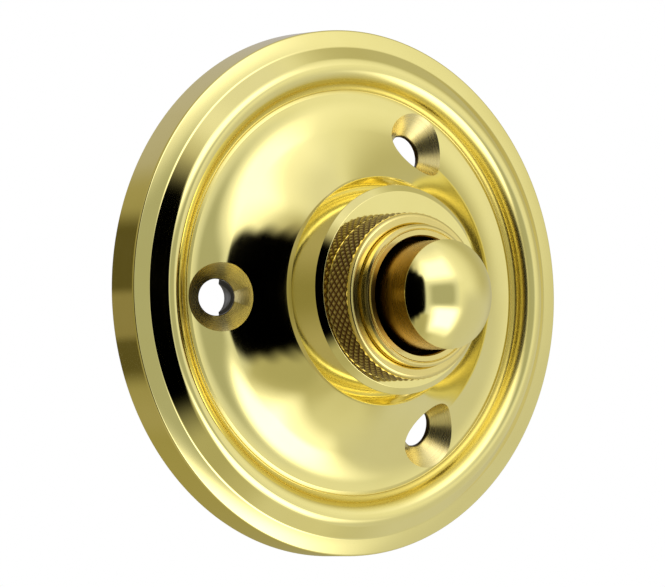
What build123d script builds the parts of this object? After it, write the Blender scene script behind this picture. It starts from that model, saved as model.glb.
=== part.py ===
"""Round brass bell push, modelled in millimetres at real size.

X points right and Z up as the push is seen on the wall, the front faces -Y,
and the wall is the plane Y = 0. A height is measured off the wall.
"""
import os
from math import asin, cos, hypot, radians, sin, tan

from build123d import *

os.makedirs("parts", exist_ok=True)

# Plate, outer section from the wall edge to the boss
plate_r = 38.0
rim_h = 5.1
rim_round = 0.35
lip_w = 2.4
lip_rise = 0.77
flank_w = 1.3
crest_round = 1.2
crest_turn = 45.0
bead_r = 4.0
bead_turn = 46.0
cove_w = 1.27
groove_deg = 10.0
quirk_w = 0.16
quirk_h = 0.3
foot_bevel_w = 0.45
foot_bevel_h = 0.12
skirt_r = 10.8
skirt_turn = 30.0
neck_r = 3.2
neck_deg = 45.0
boss_wall_h = 1.84
boss_thin_t = 2.0
boss_round = 0.35

# Plate, hollow back
skin_t = 3.0
rim_wall_t = 3.0
rim_in_round = 1.0
inner_stop_deg = 42.0
seat_h = 11.2
seat_gap = 0.4
relief_gap = 0.3

# Wall screw holes, in the skirt of the plate and leaning outwards
wall_hole_n = 3
wall_hole_in = 4.63
wall_hole_phase = 180.0
wall_hole_lean = 19.5
wall_hole_r = 2.62
sink_r = 4.55
sink_over = 2.4
sink_angle = 74
wall_hole_depth = 10.8

# The button unit stands off the plate centre, low and to the left
unit_x = -1.54
unit_z = -1.05

# Push button
stem_r = 7.75
slide_gap = 0.05
button_proud = 5.82
cap_rise = 3.2
button_flange_w = 1.25
button_flange_t = 1.5
button_flange_gap = 0.3
stop_gap = 0.2
travel = 2.0
button_wall_t = 1.85
spring_bore_depth = 6.2

# Guide bush, threaded for the ring nut
bush_wall_t = 1.83
bush_proud = 1.6
bush_flange_w = 1.85
bush_flange_t = 2.0
bush_chamfer = 0.3
bush_mouth_step = 0.52
bush_mouth_depth = 4.25
bush_lip = 0.3
bush_line_in = 0.7
bush_line_w = 0.25
bush_line_d = 0.2
stop_over = 1.8
thread_gap = 0.05

# Ring nut
nut_wall_t = 1.8
nut_h = 5.2
nut_round = 0.7
nut_mouth = 0.25

# Contact carrier, on two pillars of the plate
carrier_r = 18.7
carrier_back_h = 0.9
carrier_t = 4.5
carrier_round = 0.6
ear_r = 3.6
ear_z = 19.3
ear_t = 2.4
pillar_r = 3.4
pillar_gap = 0.3
pocket_x = 6.8
pocket_w = 6.4
pocket_d = 3.3
ledge_d = 0.55
ledge_x = 16.0
terminal_x = 12.3
terminal_pocket_r = 4.4
terminal_pocket_d = 2.0
wire_slot_w = 3.0

# Contacts
strip_t = 0.25
leaf_w = 5.0
leaf_tip_w = 3.6
strip_end_x = 15.4
leaf_free_x = 2.6
tip_r = 0.9
leaf_tip_drop = 0.25
fixed_leg_x = 6.5
fixed_foot_x = 1.6
fixed_w = 4.6
lost_motion = 0.1
touch_gap = 0.15

# Plunger and return spring
plunger_r = 1.6
plunger_grip = 4.0
plunger_round = 1.2
wire_r = 0.4
spring_side_gap = 0.6
spring_turns = 5.5
spring_end_gap = 0.1

# Terminal and carrier screws
terminal_shank_r = 1.5
terminal_head_r = 2.8
terminal_head_t = 1.4
screw_over = 0.4
washer_r = 3.5
washer_t = 0.5
terminal_nut_r = 3.0
terminal_nut_t = 1.6
slot_w = 0.7
slot_d = 0.6
fix_shank_r = 1.2
fix_head_r = 2.25
fix_head_t = 1.3
fix_grip = 3.7
fix_pocket_gap = 0.35
hole_gap = 0.1
close_gap = 0.05

# Radii of the button unit, from the stem outwards
guide_r = stem_r + slide_gap
button_flange_r = stem_r + button_flange_w
counterbore_r = button_flange_r + button_flange_gap
spring_bore_r = stem_r - button_wall_t
spring_mean_r = spring_bore_r - spring_side_gap - wire_r
bush_mouth_r = guide_r + bush_mouth_step
bush_thread_r = bush_mouth_r + bush_wall_t
bush_line_r = bush_thread_r - bush_line_in
bush_flange_r = bush_thread_r + bush_flange_w
seat_wall_r = bush_flange_r + seat_gap
nut_bore_r = bush_thread_r + thread_gap
nut_r = nut_bore_r + nut_wall_t
boss_r = nut_bore_r + hypot(unit_x, unit_z) + boss_thin_t

# Section of the plate, from the wall edge inwards
rim_in_r = plate_r - rim_wall_t
lip_in_r = plate_r - lip_w
lip_in_h = rim_h + lip_rise
flank_r = lip_in_r - flank_w
flank_h = lip_in_h + flank_w
crest_r = flank_r - crest_round * sin(radians(crest_turn))
crest_h = flank_h + crest_round * (1 - cos(radians(crest_turn)))
bead_end_r = crest_r - bead_r * sin(radians(bead_turn))
bead_end_h = crest_h - bead_r * (1 - cos(radians(bead_turn)))
cove_r = cove_w / (sin(radians(bead_turn)) - sin(radians(groove_deg)))
groove_h = bead_end_h - cove_r * (cos(radians(groove_deg)) - cos(radians(bead_turn)))
foot_r = bead_end_r - cove_w - quirk_w
foot_h = groove_h + quirk_h
skirt_start_r = foot_r - foot_bevel_w
skirt_start_h = foot_h + foot_bevel_h
skirt_end_r = skirt_start_r - skirt_r * sin(radians(skirt_turn))
skirt_end_h = skirt_start_h + skirt_r * (1 - cos(radians(skirt_turn)))
flare_end_r = boss_r + neck_r * (1 - sin(radians(neck_deg)))
flare_r = (skirt_end_r - flare_end_r) / (sin(radians(neck_deg)) - sin(radians(skirt_turn)))
flare_end_h = skirt_end_h + flare_r * (cos(radians(skirt_turn)) - cos(radians(neck_deg)))
boss_h = flare_end_h + neck_r * cos(radians(neck_deg)) + boss_wall_h

# Heights of the button unit, outwards from the boss and from the seat behind it
nut_top_h = boss_h + nut_h
bush_h = nut_top_h + bush_proud
bush_mouth_h = bush_h - bush_mouth_depth
cap_edge_h = bush_h + button_proud
bush_back_h = seat_h - bush_flange_t
stop_h = seat_h + stop_over
flange_front_h = stop_h - stop_gap
flange_back_h = flange_front_h - button_flange_t
spring_bore_h = flange_back_h + spring_bore_depth
plunger_socket_h = spring_bore_h + plunger_grip

# Heights of the contacts, from the back of the carrier outwards
carrier_front_h = carrier_back_h + carrier_t
pillar_h = carrier_back_h + ear_t
pocket_h = carrier_front_h - pocket_d
ledge_h = carrier_front_h - ledge_d
leaf_top_h = ledge_h + strip_t
plunger_end_h = leaf_top_h + lost_motion
pressed_tip_h = plunger_end_h - travel - strip_t - leaf_tip_drop
terminal_pocket_h = carrier_back_h + terminal_pocket_d
head_seat_h = terminal_pocket_h - washer_t
terminal_end_h = leaf_top_h + terminal_nut_t + screw_over
fix_seat_h = carrier_back_h + fix_head_t + hole_gap
fix_end_h = pillar_h + fix_grip
fix_tap_h = fix_end_h + screw_over

# Section planes hold radius across and height up, the face plane looks out of the wall
section = Plane(origin=(0, 0, 0), x_dir=(1, 0, 0), z_dir=(0, 0, -1))
unit_section = Plane(origin=(unit_x, 0, unit_z), x_dir=(1, 0, 0), z_dir=(0, 0, -1))
unit_face = Plane(origin=(unit_x, 0, unit_z), x_dir=(1, 0, 0), z_dir=(0, -1, 0))
plate_axis = Axis((0, 0, 0), (0, 1, 0))
unit_axis = Axis((unit_x, 0, unit_z), (0, 1, 0))
ear_spots = [(0, ear_z), (0, -ear_z)]
terminal_spots = [(terminal_x, 0), (-terminal_x, 0)]

# Wall screw holes start a little above the skirt, where their cones are wider
hole_spot_r = skirt_start_r - wall_hole_in
hole_spot_h = skirt_start_h + skirt_r * (1 - cos(asin(wall_hole_in / skirt_r)))
hole_start_r = hole_spot_r + sink_over * sin(radians(wall_hole_lean))
hole_start_h = hole_spot_h + sink_over * cos(radians(wall_hole_lean))
sink_start_r = sink_r + sink_over * tan(radians(sink_angle / 2))
hole_starts = []
for k in range(wall_hole_n):
    turn = radians(wall_hole_phase + k * 360 / wall_hole_n)
    around = Vector(cos(turn), 0, sin(turn))
    lean_out = around * sin(radians(wall_hole_lean)) - Vector(0, cos(radians(wall_hole_lean)), 0)
    start = around * hole_start_r - Vector(0, hole_start_h, 0)
    hole_starts.append(Plane(origin=start, z_dir=lean_out))

# Hollow of the plate, a skin thickness inside the skirt and flare, clear of the pillars
with BuildPart() as plate_hollow:
    with BuildSketch(section):
        with BuildLine():
            inner_rim = Line((rim_in_r, 0), (rim_in_r, skirt_start_h - skin_t))
            inner_floor = Line(inner_rim @ 1, (skirt_start_r, skirt_start_h - skin_t))
            inner_skirt = JernArc(inner_floor @ 1, (-1, 0), skirt_r + skin_t, -skirt_turn)
            inner_turn = skirt_turn - inner_stop_deg
            inner_flare = JernArc(inner_skirt @ 1, inner_skirt % 1, flare_r + skin_t, inner_turn)
            inner_cone = Line(inner_flare @ 1, (seat_wall_r, seat_h))
            Polyline(inner_cone @ 1, (0, seat_h), (0, 0), inner_rim @ 0)
        make_face()
    revolve(axis=plate_axis)
    hollow_rings = plate_hollow.edges().filter_by(GeomType.CIRCLE)
    rim_rings = hollow_rings.filter_by(lambda e: abs(e.radius - rim_in_r) < close_gap)
    fillet(rim_rings.sort_by(Axis.Y)[0], rim_in_round)
    with BuildSketch(unit_face.offset(pillar_h)):
        with Locations(*ear_spots):
            Circle(pillar_r)
    extrude(amount=seat_h, mode=Mode.SUBTRACT)

# Plate, one turned casting: wall, dished lip, bead, groove, flared centre and boss
with BuildPart() as rose_plate:
    with BuildSketch(section):
        with BuildLine():
            wall = Line((plate_r, 0), (plate_r, rim_h))
            lip = Line(wall @ 1, (lip_in_r, lip_in_h))
            flank = Line(lip @ 1, (flank_r, flank_h))
            crest = JernArc(flank @ 1, (-1, 1), crest_round, crest_turn)
            bead = JernArc(crest @ 1, crest % 1, bead_r, bead_turn)
            cove = JernArc(bead @ 1, bead % 1, cove_r, groove_deg - bead_turn)
            quirk = Line(cove @ 1, (foot_r, foot_h))
            bevel = Line(quirk @ 1, (skirt_start_r, skirt_start_h))
            skirt = JernArc(bevel @ 1, (-1, 0), skirt_r, -skirt_turn)
            flare = JernArc(skirt @ 1, skirt % 1, flare_r, skirt_turn - neck_deg)
            neck = JernArc(flare @ 1, flare % 1, neck_r, neck_deg - 90)
            Polyline(neck @ 1, (boss_r, boss_h), (0, boss_h), (0, 0), wall @ 0)
        make_face()
    revolve(axis=plate_axis)
    rings = rose_plate.edges().filter_by(GeomType.CIRCLE)
    fillet(rings.filter_by(lambda e: abs(e.center().Y + rim_h) < close_gap), rim_round)
    fillet(rings.filter_by(lambda e: abs(e.center().Y + boss_h) < close_gap), boss_round)
    add(plate_hollow.part, mode=Mode.SUBTRACT)
    with BuildSketch(unit_face):
        Circle(seat_wall_r)
    extrude(amount=seat_h, mode=Mode.SUBTRACT)
    with BuildSketch(unit_face):
        Circle(bush_thread_r + thread_gap)
    extrude(amount=boss_h, mode=Mode.SUBTRACT)
    with BuildSketch(unit_face):
        with Locations(*ear_spots):
            Circle(fix_shank_r + close_gap)
    extrude(amount=fix_tap_h, mode=Mode.SUBTRACT)
    with BuildSketch(unit_face):
        with Locations(*terminal_spots):
            Circle(terminal_nut_r + relief_gap)
    extrude(amount=terminal_end_h + relief_gap, mode=Mode.SUBTRACT)
    with Locations(*hole_starts):
        CounterSinkHole(wall_hole_r, sink_start_r, wall_hole_depth, sink_angle)
rose_plate.part.label = "Rose plate, cast and turned brass"

# Guide bush, passed through the boss from behind
with BuildPart() as guide_bush:
    with BuildSketch(unit_section):
        with BuildLine():
            guide = Line((guide_r, stop_h), (guide_r, bush_mouth_h))
            mouth = Polyline(guide @ 1, (bush_mouth_r, bush_mouth_h), (bush_mouth_r, bush_h - bush_lip))
            mouth_edge = Line(mouth @ 1, (bush_mouth_r + bush_lip, bush_h))
            line_in = Line(mouth_edge @ 1, (bush_line_r - bush_line_w / 2, bush_h))
            line_v = Line(line_in @ 1, (bush_line_r, bush_h - bush_line_d))
            line_out = Line(line_v @ 1, (bush_line_r + bush_line_w / 2, bush_h))
            rim = Line(line_out @ 1, (bush_thread_r - bush_chamfer, bush_h))
            rim_edge = Line(rim @ 1, (bush_thread_r, bush_h - bush_chamfer))
            barrel = Polyline(rim_edge @ 1, (bush_thread_r, seat_h), (bush_flange_r, seat_h))
            flange = Polyline(barrel @ 1, (bush_flange_r, bush_back_h), (counterbore_r, bush_back_h))
            Polyline(flange @ 1, (counterbore_r, stop_h), guide @ 0)
        make_face()
    revolve(axis=unit_axis)
guide_bush.part.label = "Guide bush, turned brass"

# Ring nut that draws the bush up to the boss
with BuildPart() as ring_nut:
    with BuildSketch(unit_section):
        with BuildLine():
            nut_bore = Line((nut_bore_r, boss_h), (nut_bore_r, nut_top_h - nut_mouth))
            nut_edge = Line(nut_bore @ 1, (nut_bore_r + nut_mouth, nut_top_h))
            nut_face = Line(nut_edge @ 1, (nut_r - nut_round, nut_top_h))
            nut_turn = JernArc(nut_face @ 1, (1, 0), nut_round, -90)
            Polyline(nut_turn @ 1, (nut_r, boss_h), nut_bore @ 0)
        make_face()
    revolve(axis=unit_axis)
ring_nut.part.label = "Ring nut, turned brass"

# Push button, one turned piece with its stop flange and spring bore
cap_r = (stem_r ** 2 + cap_rise ** 2) / (2 * cap_rise)
with BuildPart() as push_button:
    with BuildSketch(unit_section):
        with BuildLine():
            socket_end = Line((0, plunger_socket_h), (plunger_r, plunger_socket_h))
            socket = Line(socket_end @ 1, (plunger_r, spring_bore_h))
            bore = Polyline(socket @ 1, (spring_bore_r, spring_bore_h), (spring_bore_r, flange_back_h))
            back = Polyline(bore @ 1, (button_flange_r, flange_back_h), (button_flange_r, flange_front_h))
            stem = Polyline(back @ 1, (stem_r, flange_front_h), (stem_r, cap_edge_h))
            cap = RadiusArc(stem @ 1, (0, cap_edge_h + cap_rise), -cap_r)
            Line(cap @ 1, socket_end @ 0)
        make_face()
    revolve(axis=unit_axis)
push_button.part.label = "Push button, turned brass"

# Insulating plunger, pressed into the button
with BuildPart() as plunger:
    with BuildSketch(unit_face.offset(plunger_end_h)):
        Circle(plunger_r - close_gap)
    extrude(amount=plunger_socket_h - close_gap - plunger_end_h)
    fillet(plunger.edges().sort_by(Axis.Y)[-1], plunger_round)
plunger.part.label = "Plunger, moulded nylon"

# Return spring, between the carrier and the end of the button bore
spring_low_h = carrier_front_h + spring_end_gap + wire_r
spring_high_h = spring_bore_h - spring_end_gap - wire_r
spring_height = spring_high_h - spring_low_h
with BuildPart() as return_spring:
    with BuildLine():
        coil = Helix(
            pitch=spring_height / spring_turns,
            height=spring_height,
            radius=spring_mean_r,
            center=(unit_x, -spring_low_h, unit_z),
            direction=(0, -1, 0),
        )
    with BuildSketch(Plane(origin=coil @ 0, z_dir=coil % 0)):
        Circle(wire_r)
    sweep(is_frenet=True)
return_spring.part.label = "Return spring, drawn steel wire"

# Contact carrier with its contact pocket, strip ledges, terminal pockets and wall screw notch
with BuildPart() as contact_carrier:
    with BuildSketch(unit_face.offset(carrier_back_h)):
        Circle(carrier_r)
    extrude(amount=carrier_t)
    fillet(contact_carrier.edges().sort_by(Axis.Y)[0], carrier_round)
    with BuildSketch(unit_face.offset(carrier_back_h)):
        SlotCenterToCenter(2 * ear_z, 2 * ear_r, rotation=90)
    extrude(amount=ear_t)
    with BuildSketch(unit_face.offset(pillar_h)):
        with Locations(*ear_spots):
            Circle(pillar_r + pillar_gap)
    extrude(amount=carrier_t, mode=Mode.SUBTRACT)
    with BuildSketch(unit_face.offset(pocket_h)):
        Rectangle(2 * pocket_x, pocket_w)
    extrude(amount=pocket_d, mode=Mode.SUBTRACT)
    with BuildSketch(unit_face.offset(ledge_h)):
        Rectangle(2 * ledge_x, pocket_w)
    extrude(amount=ledge_d, mode=Mode.SUBTRACT)
    with BuildSketch(unit_face.offset(carrier_back_h)):
        with Locations(*terminal_spots):
            Circle(terminal_pocket_r)
        with Locations((terminal_x, -carrier_r / 2), (-terminal_x, -carrier_r / 2)):
            Rectangle(wire_slot_w, carrier_r)
    extrude(amount=terminal_pocket_d, mode=Mode.SUBTRACT)
    with BuildSketch(unit_face):
        with Locations(*terminal_spots):
            Circle(terminal_shank_r + hole_gap)
        with Locations(*ear_spots):
            Circle(fix_shank_r + hole_gap)
    extrude(amount=carrier_front_h, mode=Mode.SUBTRACT)
    with BuildSketch(unit_face):
        with Locations(*ear_spots):
            Circle(fix_head_r + fix_pocket_gap)
    extrude(amount=fix_seat_h, mode=Mode.SUBTRACT)
    with Locations(*hole_starts):
        Hole(wall_hole_r, wall_hole_depth)
contact_carrier.part.label = "Contact carrier, black phenolic moulding"

# Moving contact, a sprung leaf with a pressed contact point under the plunger
leaf_neck_x = leaf_w / 2 - terminal_x
with BuildPart() as moving_contact:
    with BuildSketch(unit_face.offset(ledge_h)):
        with BuildLine():
            leaf_root = Line((-strip_end_x, -leaf_w / 2), (-strip_end_x, leaf_w / 2))
            leaf_side = Polyline(leaf_root @ 1, (leaf_neck_x, leaf_w / 2), (leaf_free_x, leaf_tip_w / 2))
            leaf_end = Line(leaf_side @ 1, (leaf_free_x, -leaf_tip_w / 2))
            Polyline(leaf_end @ 1, (leaf_neck_x, -leaf_w / 2), leaf_root @ 0)
        make_face()
        with Locations((-terminal_x, 0)):
            Circle(terminal_shank_r + hole_gap, mode=Mode.SUBTRACT)
    extrude(amount=strip_t)
    with BuildSketch(unit_face.offset(ledge_h - leaf_tip_drop)):
        Circle(tip_r)
    extrude(amount=leaf_tip_drop)
moving_contact.part.label = "Moving contact, phosphor bronze strip"

# Fixed contact, a cranked strip on the floor of the pocket
with BuildPart() as fixed_contact:
    with BuildSketch(unit_face.offset(ledge_h)):
        with Locations(((strip_end_x + fixed_leg_x) / 2, 0)):
            Rectangle(strip_end_x - fixed_leg_x, fixed_w)
        with Locations((terminal_x, 0)):
            Circle(terminal_shank_r + hole_gap, mode=Mode.SUBTRACT)
    extrude(amount=strip_t)
    with BuildSketch(unit_face.offset(pocket_h)):
        with Locations((fixed_leg_x + strip_t / 2, 0)):
            Rectangle(strip_t, fixed_w)
    extrude(amount=ledge_h - pocket_h)
    with BuildSketch(unit_face.offset(pocket_h)):
        with Locations(((fixed_leg_x - fixed_foot_x) / 2, 0)):
            Rectangle(fixed_leg_x + fixed_foot_x, fixed_w)
    extrude(amount=strip_t)
fixed_contact.part.label = "Fixed contact, brass strip"

# Contact point riveted on the fixed strip, met by the leaf at full travel
point_seat_h = pocket_h + strip_t
with BuildPart() as fixed_point:
    with BuildSketch(unit_face.offset(point_seat_h)):
        Circle(tip_r)
    extrude(amount=pressed_tip_h - touch_gap - point_seat_h)
fixed_point.part.label = "Fixed contact point, silver alloy"

# Terminal screws, put in from behind and clamping strip and wire
with BuildPart() as terminal_screws:
    with BuildSketch(unit_face.offset(head_seat_h - terminal_head_t)):
        with Locations(*terminal_spots):
            Circle(terminal_head_r)
    extrude(amount=terminal_head_t)
    with BuildSketch(unit_face.offset(head_seat_h)):
        with Locations(*terminal_spots):
            Circle(terminal_shank_r)
    extrude(amount=terminal_end_h - head_seat_h)
    with BuildSketch(unit_face.offset(head_seat_h - terminal_head_t)):
        with Locations(*terminal_spots):
            Rectangle(slot_w, 2 * terminal_head_r)
    extrude(amount=slot_d, mode=Mode.SUBTRACT)
terminal_screws.part.label = "Terminal screws, brass"

# Washers that hold the wire ends under the screw heads
with BuildPart() as terminal_washers:
    with BuildSketch(unit_face.offset(head_seat_h)):
        with Locations(*terminal_spots):
            Circle(washer_r)
            Circle(terminal_shank_r + hole_gap, mode=Mode.SUBTRACT)
    extrude(amount=washer_t)
terminal_washers.part.label = "Terminal washers, brass"

# Nuts that clamp the strips to the ledges
with BuildPart() as terminal_nuts:
    with BuildSketch(unit_face.offset(leaf_top_h)):
        with Locations(*terminal_spots):
            RegularPolygon(terminal_nut_r, 6)
            Circle(terminal_shank_r + close_gap, mode=Mode.SUBTRACT)
    extrude(amount=terminal_nut_t)
terminal_nuts.part.label = "Terminal nuts, brass"

# Screws that fix the carrier to the pillars of the plate
with BuildPart() as carrier_screws:
    with BuildSketch(unit_face.offset(fix_seat_h - fix_head_t)):
        with Locations(*ear_spots):
            Circle(fix_head_r)
    extrude(amount=fix_head_t)
    with BuildSketch(unit_face.offset(fix_seat_h)):
        with Locations(*ear_spots):
            Circle(fix_shank_r)
    extrude(amount=fix_end_h - fix_seat_h)
    with BuildSketch(unit_face.offset(fix_seat_h - fix_head_t)):
        with Locations(*ear_spots):
            Rectangle(2 * fix_head_r, slot_w)
    extrude(amount=slot_d, mode=Mode.SUBTRACT)
carrier_screws.part.label = "Carrier screws, brass"

# Files, one for each node
export_step(rose_plate.part, "parts/rose_plate.step")
export_step(ring_nut.part, "parts/ring_nut.step")
export_step(guide_bush.part, "parts/guide_bush.step")
export_step(push_button.part, "parts/push_button.step")
export_step(plunger.part, "parts/plunger.step")
export_step(return_spring.part, "parts/return_spring.step")
export_step(contact_carrier.part, "parts/contact_carrier.step")
export_step(moving_contact.part, "parts/moving_contact.step")
export_step(fixed_contact.part, "parts/fixed_contact.step")
export_step(fixed_point.part, "parts/fixed_point.step")
export_step(terminal_screws.part, "parts/terminal_screws.step")
export_step(terminal_washers.part, "parts/terminal_washers.step")
export_step(terminal_nuts.part, "parts/terminal_nuts.step")
export_step(carrier_screws.part, "parts/carrier_screws.step")
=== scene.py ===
# %% [markdown]
# # A round brass bell push
#
# The push is turned brass: a moulded wall plate, a knurled ring nut, a guide bush and a domed
# button, with contacts on a black carrier behind. The CAD frame already holds every piece at its
# real size. This lesson dresses it: each turned piece is drawn again as a fine mesh with exact
# surface directions, because polished metal shows every facet.

# %% Load the frame
from math import asin, atan2, ceil, copysign, cos, degrees, hypot, pi, radians, sin, tan

import bmesh
import bpy
import numpy as np
from mathutils import Matrix, Vector
from mathutils.kdtree import KDTree


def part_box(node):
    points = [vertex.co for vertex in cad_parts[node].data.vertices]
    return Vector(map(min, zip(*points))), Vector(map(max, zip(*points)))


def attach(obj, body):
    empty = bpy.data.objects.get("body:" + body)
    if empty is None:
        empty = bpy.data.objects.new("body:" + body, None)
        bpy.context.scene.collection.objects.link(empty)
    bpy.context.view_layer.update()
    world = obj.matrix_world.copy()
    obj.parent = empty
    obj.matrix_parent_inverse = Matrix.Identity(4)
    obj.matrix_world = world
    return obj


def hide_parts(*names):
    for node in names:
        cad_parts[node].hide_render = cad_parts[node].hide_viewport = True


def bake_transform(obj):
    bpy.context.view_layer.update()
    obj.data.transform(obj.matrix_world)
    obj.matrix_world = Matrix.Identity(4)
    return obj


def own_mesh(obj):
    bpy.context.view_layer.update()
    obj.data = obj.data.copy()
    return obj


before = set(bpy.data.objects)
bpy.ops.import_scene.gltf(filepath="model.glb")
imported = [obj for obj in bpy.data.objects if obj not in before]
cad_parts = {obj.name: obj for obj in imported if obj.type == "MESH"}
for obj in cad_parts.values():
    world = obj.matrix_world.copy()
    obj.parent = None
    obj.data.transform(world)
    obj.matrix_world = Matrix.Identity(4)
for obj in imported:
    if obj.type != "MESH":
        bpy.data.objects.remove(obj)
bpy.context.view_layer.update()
print("nodes:", len(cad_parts))

# %% [markdown]
# ## Sizes
#
# Lengths below are millimetres, as on a drawing, and turn to metres when a mesh is made. What the
# frame knows is read from the frame: the plate's radius and boss height, where the button unit
# stands, and each turned piece's reach.

# %% Sizes read from the frame
MM = 0.001


def span(node):
    low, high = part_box(node)
    return [v / MM for v in low], [v / MM for v in high]


plate_low, plate_high = span("rose_plate")
nut_low, nut_high = span("ring_nut")
bush_low, _ = span("guide_bush")
button_low, _ = span("push_button")

plate_r = plate_high[0]
boss_h = -plate_low[1]
unit_x = (nut_low[0] + nut_high[0]) / 2
unit_z = (nut_low[2] + nut_high[2]) / 2
nut_r = (nut_high[0] - nut_low[0]) / 2
nut_top_h = -nut_low[1]
bush_h = -bush_low[1]
cap_top_h = -button_low[1]
print(f"plate radius {plate_r:.2f}, boss height {boss_h:.2f}, unit at {unit_x:.2f}, {unit_z:.2f} mm")

# %% [markdown]
# ## Nodes and colours
#
# Every finish is a small node tree. One function adds a node, sets its properties and fills or
# links its sockets. Colours are written as sRGB hex, as a colour picker shows them, and one
# function turns them to the linear values that the renderer works in.

# %% Node and colour helpers
def colour(hex_code):
    parts = [int(hex_code[k:k + 2], 16) / 255 for k in (1, 3, 5)]
    linear = [p / 12.92 if p <= 0.04045 else ((p + 0.055) / 1.055) ** 2.4 for p in parts]
    return (*linear, 1.0)


def add_node(tree, kind, inputs=None, **settings):
    node = tree.nodes.new(kind)
    for key, value in settings.items():
        setattr(node, key, value)
    for key, value in (inputs or {}).items():
        if isinstance(value, bpy.types.NodeSocket):
            tree.links.new(value, node.inputs[key])
        else:
            node.inputs[key].default_value = value
    return node


def new_material(name):
    material = bpy.data.materials.new(name)
    material.use_nodes = True
    tree = material.node_tree
    return material, tree, tree.nodes["Principled BSDF"]


print("bright brass in linear light:", [round(v, 3) for v in colour("#f7eb9f")[:3]])

# %% [markdown]
# ## Polished brass
#
# The casting is turned on a lathe and then polished on a soft mop. What is left to see is a
# mirror with a faint haze: very fine rings from the lathe, and slow cloudy patches where the mop
# pressed more or less. The rings follow the distance from the lathe axis, so the pattern is fed
# with radius and height in place of plain x, y, z. In a narrow groove and between the teeth of a
# knurl the brass is made rougher, and its colour there is painted darker and browner as painted shade.

# %% Turned and mop-polished brass
CLOUD_MM, RING_HEIGHT_MM = 7, 0.001


def turned_brass(name, light, deep, roughness, ring_mm, ring_strength,
                 rough_and_painted_shade=None, painted_shade_tint=None, dull_rough=0.0):
    material, tree, surface = new_material(name)
    coords = add_node(tree, "ShaderNodeTexCoord").outputs["Object"]
    flat = add_node(tree, "ShaderNodeVectorMath", {0: coords, 1: (1, 0, 1)},
                    operation="MULTIPLY").outputs[0]
    radius = add_node(tree, "ShaderNodeVectorMath", {0: flat}, operation="LENGTH").outputs["Value"]
    height = add_node(tree, "ShaderNodeSeparateXYZ", {0: coords}).outputs["Y"]
    section = add_node(tree, "ShaderNodeCombineXYZ", {"X": radius, "Y": height}).outputs[0]
    rings = add_node(tree, "ShaderNodeTexNoise", {"Vector": section, "Scale": 1 / (ring_mm * MM),
                                                  "Detail": 2.0}).outputs["Fac"]
    clouds = add_node(tree, "ShaderNodeTexNoise", {"Vector": coords, "Scale": 1 / (CLOUD_MM * MM),
                                                   "Detail": 3.0}).outputs["Fac"]
    shown = add_node(tree, "ShaderNodeMix", {0: clouds, 6: colour(light), 7: colour(deep)},
                     data_type="RGBA").outputs[2]
    both = add_node(tree, "ShaderNodeMath", {0: rings, 1: clouds}, operation="ADD").outputs[0]
    haze = {"Value": both, "From Min": 0.7, "From Max": 1.3,
            "To Min": roughness * 0.75, "To Max": roughness * 1.25}
    rough = add_node(tree, "ShaderNodeMapRange", haze).outputs["Result"]
    rippled = ring_strength
    # The mask makes the brass rougher and paints its colour towards a darker tint: painted shade in the
    # groove, the knurl and the bush mouth, and a painted reflection on the button's stem.
    if rough_and_painted_shade:
        amount = rough_and_painted_shade(tree, radius, height)
        shown = add_node(tree, "ShaderNodeMix", {0: amount, 6: shown, 7: colour(painted_shade_tint)},
                         data_type="RGBA").outputs[2]
        rough = add_node(tree, "ShaderNodeMath", {0: amount, 1: dull_rough, 2: rough},
                         operation="MULTIPLY_ADD").outputs[0]
        rippled = add_node(tree, "ShaderNodeMath", {0: amount, 1: -ring_strength, 2: ring_strength},
                           operation="MULTIPLY_ADD").outputs[0]
    tree.links.new(shown, surface.inputs["Base Color"])
    tree.links.new(rough, surface.inputs["Roughness"])
    ripple = add_node(tree, "ShaderNodeBump", {"Height": rings, "Strength": rippled,
                                               "Distance": RING_HEIGHT_MM * MM})
    tree.links.new(ripple.outputs["Normal"], surface.inputs["Normal"])
    surface.inputs["Metallic"].default_value = 1.0
    return material


GROOVE_R, GROOVE_REACH, GROOVE_CORE, FRONT_H = 30.15, 1.7, 0.3, 4.5
KNURL_DEPTH = "knurl_depth"
MOUTH_R = 8.45


def groove_painted_shade(tree, radius, height):
    # In the groove the brass is rougher and painted a deeper gold, as painted shade.
    off = add_node(tree, "ShaderNodeMath", {0: radius, 1: GROOVE_R * MM},
                   operation="SUBTRACT").outputs[0]
    away = add_node(tree, "ShaderNodeMath", {0: off}, operation="ABSOLUTE").outputs[0]
    fade = {"Value": away, "From Min": GROOVE_REACH * GROOVE_CORE * MM,
            "From Max": GROOVE_REACH * MM, "To Min": 1.0, "To Max": 0.0}
    near = add_node(tree, "ShaderNodeMapRange", fade,
                    interpolation_type="SMOOTHSTEP").outputs["Result"]
    ahead = add_node(tree, "ShaderNodeMath", {0: height, 1: -FRONT_H * MM},
                     operation="LESS_THAN").outputs[0]
    return add_node(tree, "ShaderNodeMath", {0: near, 1: ahead}, operation="MULTIPLY").outputs[0]


def knurl_painted_shade(tree, radius, height):
    depth = add_node(tree, "ShaderNodeAttribute", attribute_name=KNURL_DEPTH).outputs["Fac"]
    # Painted shade by depth: the square root brings it well up the slopes and leaves only the tips
    # bright.
    return add_node(tree, "ShaderNodeMath", {0: depth}, operation="SQRT").outputs[0]


def mouth_painted_shade(tree, radius, height):
    # Inside the mouth the bush is painted dark brown, as painted shade in the bore.
    return add_node(tree, "ShaderNodeMath", {0: radius, 1: MOUTH_R * MM},
                    operation="LESS_THAN").outputs[0]


# A mirror with a faint haze: crisp reflections of the tent, a little soft at their edges,
# and in the groove a rougher finish with a deeper gold painted in as painted shade.
mop_polished_brass = turned_brass("brass_turned_mop_polished", "#f9eea5", "#f4e799", 0.07, 0.5, 0.6,
                                  groove_painted_shade, "#dfca68", 0.2)
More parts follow.
